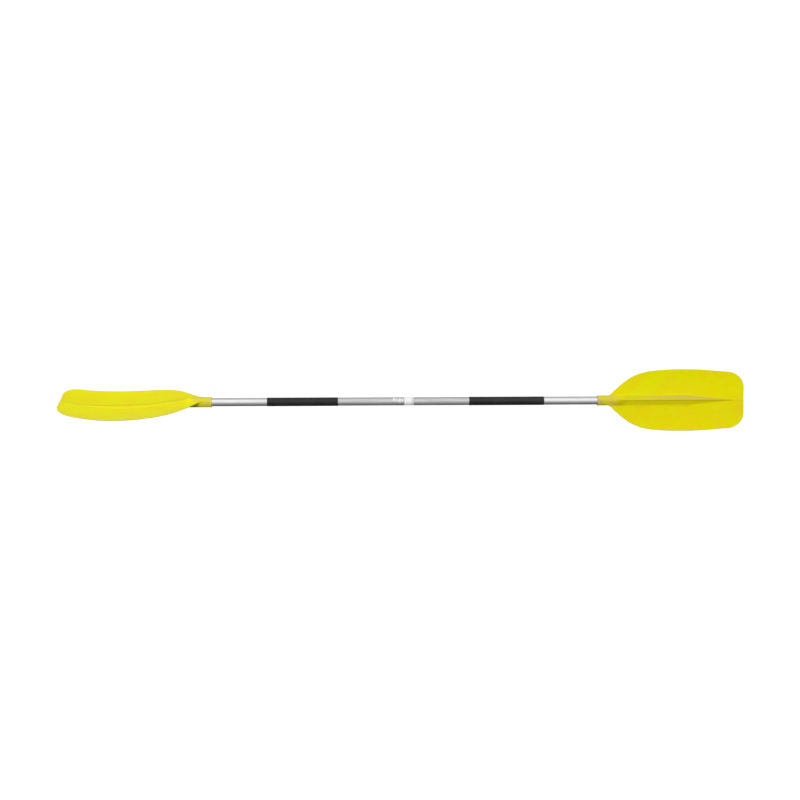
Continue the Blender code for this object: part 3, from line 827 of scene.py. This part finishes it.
def rivet(name, x, angle, surface, bulb, mat, body, node):
    """A set blind rivet: domed head with its hollow stem, shank, and the bulb inside the wall."""
    r, head, shank = RIVET_HEAD_R, surface + 0.0002, RIVET_SHANK_R
    stem = [(0, head + 0.0006), (0.0007, head + 0.0006), (0.0008, head + 0.0013)]
    rim = head + 0.0003
    crown = [
        (mix(0.0012, r, n / 6), rim + 0.00115 * math.cos(math.pi / 2 * n / 6) ** 0.7)
        for n in range(7)
    ]
    blind_end = [(shank, bulb), (shank * 1.45, bulb - 0.0005), (shank * 1.5, bulb - 0.0016)]
    blind_end += [(shank, bulb - 0.0024), (0, bulb - 0.0026)]
    points = stem + crown + [(r, head), (shank, head)] + blind_end
    piece = turned(name, points, mat, outwards(x, angle), False, 32, 50.0)
    seat(piece, body, "rivet_aluminium", node)


def rivets(metal):
    for side, sign, body in (("left", -1, "left_half"), ("right", 1, "right_half")):
        for place, angle in (("front", 90.0), ("back", -90.0)):
            name = f"rivet_{side}_{place}"
            inside = TUBE_INNER_R - 0.0002
            rivet(name, sign * RIVET_X, angle, SOCKET_R, inside, metal, body, "blade_" + name)
    for i, angle in enumerate(FERRULE_RIVET_ANGLES, 1):
        name, inside = f"joint_rivet_{i}", FERRULE_INNER_R - 0.0002
        rivet(name, FERRULE_RIVET_X, angle, SHAFT_R, inside, metal, "right_half", f"ferrule_rivet_{i}")


def leaf_path():
    """The spring leaf's middle line in the clip's plane: x along the shaft, z towards the button."""
    leg_z, foot_z = FERRULE_INNER_R - 0.0012, -FERRULE_INNER_R + 0.0016
    bend_x, bend_r, middle_z = BUTTON_X - 0.026, 0.0030, -0.0010
    leg = [(0.009, leg_z - 0.0004), (0.004, leg_z - 0.0001), (-0.006, leg_z)]
    foot = [(0.004, foot_z), (0.009, foot_z + 0.0002), (0.012, foot_z + 0.0006)]
    bend = [
        (bend_x - bend_r * math.sin(math.radians(a)), middle_z + bend_r * math.cos(math.radians(a)))
        for a in range(0, 181, 15)
    ]
    return [(BUTTON_X + x, z) for x, z in leg] + bend + [(BUTTON_X + x, z) for x, z in foot]


def lock_button(steel):
    base, dome = FERRULE_INNER_R - 0.0009, 0.0022
    points = [(0, BUTTON_TOP_R)]
    for degrees in range(10, 91, 10):
        a = math.radians(degrees)
        points.append((BUTTON_R * math.sin(a), BUTTON_TOP_R - dome + dome * math.cos(a)))
    points += [(BUTTON_R, base + 0.0006), (BUTTON_R + 0.0003, base + 0.0002)]
    points += [(BUTTON_R + 0.0006, base), (0, base)]
    button = turned("lock_button", points, steel, outwards(BUTTON_X, BUTTON_ANGLE), False, 48, 50.0)
    seat(button, "snap_button", "spring_steel", "snap_clip")


def spring_leaf(steel):
    """The spring leaf, built in place: its foot lies on the ferrule's far wall, its leg under the
    button.
    """
    path = leaf_path()
    last = len(path) - 1
    bevel = CLIP_THICKNESS * 0.3
    bm = bmesh.new()
    rows = []
    for i, (x, z) in enumerate(path):
        way = (Vector(path[min(i + 1, last)]) - Vector(path[max(i - 1, 0)])).normalized()
        side = Vector((-way.y, way.x)) * CLIP_THICKNESS / 2
        half = CLIP_WIDTH / 2 * (0.75 if i in (0, last) else 1.0)
        outline = [(1, -half + bevel), (1, half - bevel), (0.4, half), (-0.4, half)]
        outline += [(-1, half - bevel), (-1, -half + bevel), (-0.4, -half), (0.4, -half)]
        rows.append([bm.verts.new((x + side.x * s, y, z + side.y * s)) for s, y in outline])
    join_rows(bm, rows)
    bm.faces.new(rows[0])
    bm.faces.new(rows[-1])
    mesh = finished(bm, "spring_leaf")
    mesh.transform(Matrix.Rotation(math.radians(BUTTON_ANGLE - 90.0), 4, "X"))
    leaf = new_piece("spring_leaf", mesh, steel, 50.0)
    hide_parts("snap_clip")
    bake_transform(leaf)


def label(film):
    """A thin film round part of the shaft, with rounded corners."""
    (low, _, _), (high, _, _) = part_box("shaft_label")
    start, end = (math.radians(a) for a in LABEL_ANGLES)
    inner, outer = SHAFT_R + LABEL_LIFT, SHAFT_R + LABEL_LIFT + LABEL_THICKNESS
    corner, steps = LABEL_CORNER_R, 48
    bm = bmesh.new()
    rows = []
    for i in range(steps + 1):
        angle = mix(start, end, i / steps)
        into_corner = max(corner - min(angle - start, end - angle) * SHAFT_R, 0.0)
        inset = corner - math.sqrt(max(corner ** 2 - into_corner ** 2, 0.0))
        a, b = low + inset, high - inset
        xs = [mix(a, b, n / 12) for n in range(13)]
        c, s = math.cos(angle), math.sin(angle)
        front = [bm.verts.new((x, outer * c, outer * s)) for x in xs]
        back = [bm.verts.new((x, inner * c, inner * s)) for x in xs[::-1]]
        rows.append(front + back)
    join_rows(bm, rows)
    bm.faces.new(rows[0])
    bm.faces.new(rows[-1])
    seat(new_piece("label", finished(bm, "label"), film), "left_half", "label_film", "shaft_label")


def inner_nodes(white, foam_mat):
    """CAD nodes that stay: they get the fine materials."""
    finishes = {"ferrule_bushing": (white, "joint_plastic")}
    for plug in ("blade_plug_left", "blade_plug_right", "foam_plug_left", "foam_plug_right"):
        finishes[plug] = (foam_mat, "plug_foam")
    for node, (mat, slot) in finishes.items():
        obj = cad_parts[node]
        obj.data.materials.clear()
        obj.data.materials.append(mat)


# ---- camera, floor and light -------------------------------------------------------------------

CAMERA_TILT = 2.0       # how far the camera stands towards +Y from straight above, in degrees
CAMERA_YAW = 2.53       # and towards -X
CAMERA_ROLL = 0.26
CAMERA_DISTANCE = 3.58
FRAME_WIDTH = 2.4974    # metres that the picture spans at the shaft
AIM = Vector((-0.0185, 0.0042, 0.0))
# How bright the studio is in each direction round the shaft, from above (0) towards +Y (90 degrees).
# It brightens again just short of straight down, which lights the edge of the metal's underside.
STUDIO_PEAK = 1.36
STUDIO = (
    (-180, 0.14), (-120, 0.12), (-87, 0.18), (-53, 0.33), (-24, 0.60), (4, 1.08),
    (32, STUDIO_PEAK), (62, 1.04), (98, 0.66), (140, 0.30), (180, STUDIO_PEAK),
)
FLOOR_GLOW = 0.28       # what the floor gives off, except to the camera, which sees it white
FLOOR_HALF_SIDE = 40.0
FLOOR_GAP = 0.002


def tilted(degrees):
    angle = math.radians(degrees)
    return Vector((0, math.sin(angle), math.cos(angle)))


def camera():
    data = bpy.data.cameras.new("camera")
    data.sensor_width = 36.0
    data.lens = data.sensor_width * CAMERA_DISTANCE / FRAME_WIDTH
    data.clip_end = 60.0
    cam = bpy.data.objects.new("camera", data)
    bpy.context.scene.collection.objects.link(cam)
    yaw, roll = math.radians(CAMERA_YAW), math.radians(CAMERA_ROLL)
    back = tilted(CAMERA_TILT) * math.cos(yaw) - Vector((math.sin(yaw), 0, 0))
    up = tilted(CAMERA_TILT - 90.0) * -1
    right = up.cross(back)
    turned_up = up * math.cos(roll) + right * math.sin(roll)
    turned_right = right * math.cos(roll) - up * math.sin(roll)
    cam.matrix_world = Matrix.Translation(AIM + back * CAMERA_DISTANCE) @ Matrix(
        (turned_right, turned_up, back)
    ).transposed().to_4x4()
    bpy.context.scene.camera = cam


def floor():
    mesh = bpy.data.meshes.new("floor")
    side, z = FLOOR_HALF_SIDE, CAD_BOX[0].z - FLOOR_GAP
    corners = [(-side, -side, z), (side, -side, z), (side, side, z), (-side, side, z)]
    mesh.from_pydata(corners, [], [(0, 1, 2, 3)])
    n = Nodes("floor_white", Base_Color=(0.10, 0.10, 0.10), Roughness=1.0, Specular_IOR_Level=0.0)
    n.into("Emission Color", (1.0, 1.0, 1.0))
    seen = n.tree.nodes.new("ShaderNodeLightPath").outputs["Is Camera Ray"]
    n.into("Emission Strength", n.span(seen, 0.0, 1.0, FLOOR_GLOW, 1.0, smooth=False))
    mesh.materials.append(n.mat)
    obj = bpy.data.objects.new("floor", mesh)
    bpy.context.scene.collection.objects.link(obj)
    obj.visible_glossy = False


def sky():
    """A studio that is bright above and on the +Y side, darker on the other; the camera sees white."""
    world = bpy.data.worlds.new("studio")
    bpy.context.scene.world = world
    world.use_nodes = True
    tree = world.node_tree
    background = tree.nodes["Background"]
    place = tree.nodes.new("ShaderNodeTexCoord")
    parts = tree.nodes.new("ShaderNodeSeparateXYZ")
    tree.links.new(place.outputs["Generated"], parts.inputs[0])
    angle = tree.nodes.new("ShaderNodeMath")
    angle.operation = "ARCTAN2"
    tree.links.new(parts.outputs["Y"], angle.inputs[0])
    tree.links.new(parts.outputs["Z"], angle.inputs[1])
    share = tree.nodes.new("ShaderNodeMapRange")
    share.inputs["From Min"].default_value = -math.pi
    share.inputs["From Max"].default_value = math.pi
    tree.links.new(angle.outputs[0], share.inputs["Value"])
    levels = tree.nodes.new("ShaderNodeValToRGB")
    ramp = levels.color_ramp
    ramp.interpolation = "EASE"
    for degrees, _ in STUDIO[1:-1]:
        ramp.elements.new(degrees / 360 + 0.5)
    for stop, (_, level) in zip(ramp.elements, STUDIO):
        stop.color = (*[level / STUDIO_PEAK] * 3, 1.0)
    tree.links.new(share.outputs[0], levels.inputs["Fac"])
    seen = tree.nodes.new("ShaderNodeLightPath")
    pick = tree.nodes.new("ShaderNodeMix")
    pick.data_type = "RGBA"
    tree.links.new(seen.outputs["Is Camera Ray"], pick.inputs[0])
    tree.links.new(levels.outputs["Color"], pick.inputs[6])
    pick.inputs[7].default_value = (*[1.0 / STUDIO_PEAK] * 3, 1.0)
    tree.links.new(pick.outputs[2], background.inputs["Color"])
    background.inputs["Strength"].default_value = STUDIO_PEAK


def stage():
    camera()
    floor()
    sky()
    scene = bpy.context.scene
    scene.view_settings.view_transform = "Standard"
    scene.view_settings.look = "None"


# ---- all of it -----------------------------------------------------------------------------------

def build():
    metal = shaft_aluminium()
    ferrule_metal = plain_metal("ferrule_aluminium", (0.60, 0.60, 0.61), (0.72, 0.72, 0.73), 0.34, 900.0)
    rivet_metal = plain_metal("rivet_aluminium", (0.50, 0.50, 0.51), (0.68, 0.68, 0.69), 0.36, 2000.0)
    steel = plain_metal("spring_steel", (0.46, 0.46, 0.47), (0.60, 0.60, 0.61), 0.30, 1800.0)
    white = white_plastic("joint_nylon", (0.97, 0.97, 0.96), (0.92, 0.92, 0.90))
    grey = white_plastic("ring_nylon", (0.80, 0.80, 0.79), (0.74, 0.74, 0.72))
    blades()
    shafts(metal)
    grips()
    collar_liner(white)
    loose_ring(grey)
    ferrule(ferrule_metal, white)
    rivets(rivet_metal)
    lock_button(steel)
    spring_leaf(steel)
    label(label_film())
    inner_nodes(white, foam())


build()
stage()
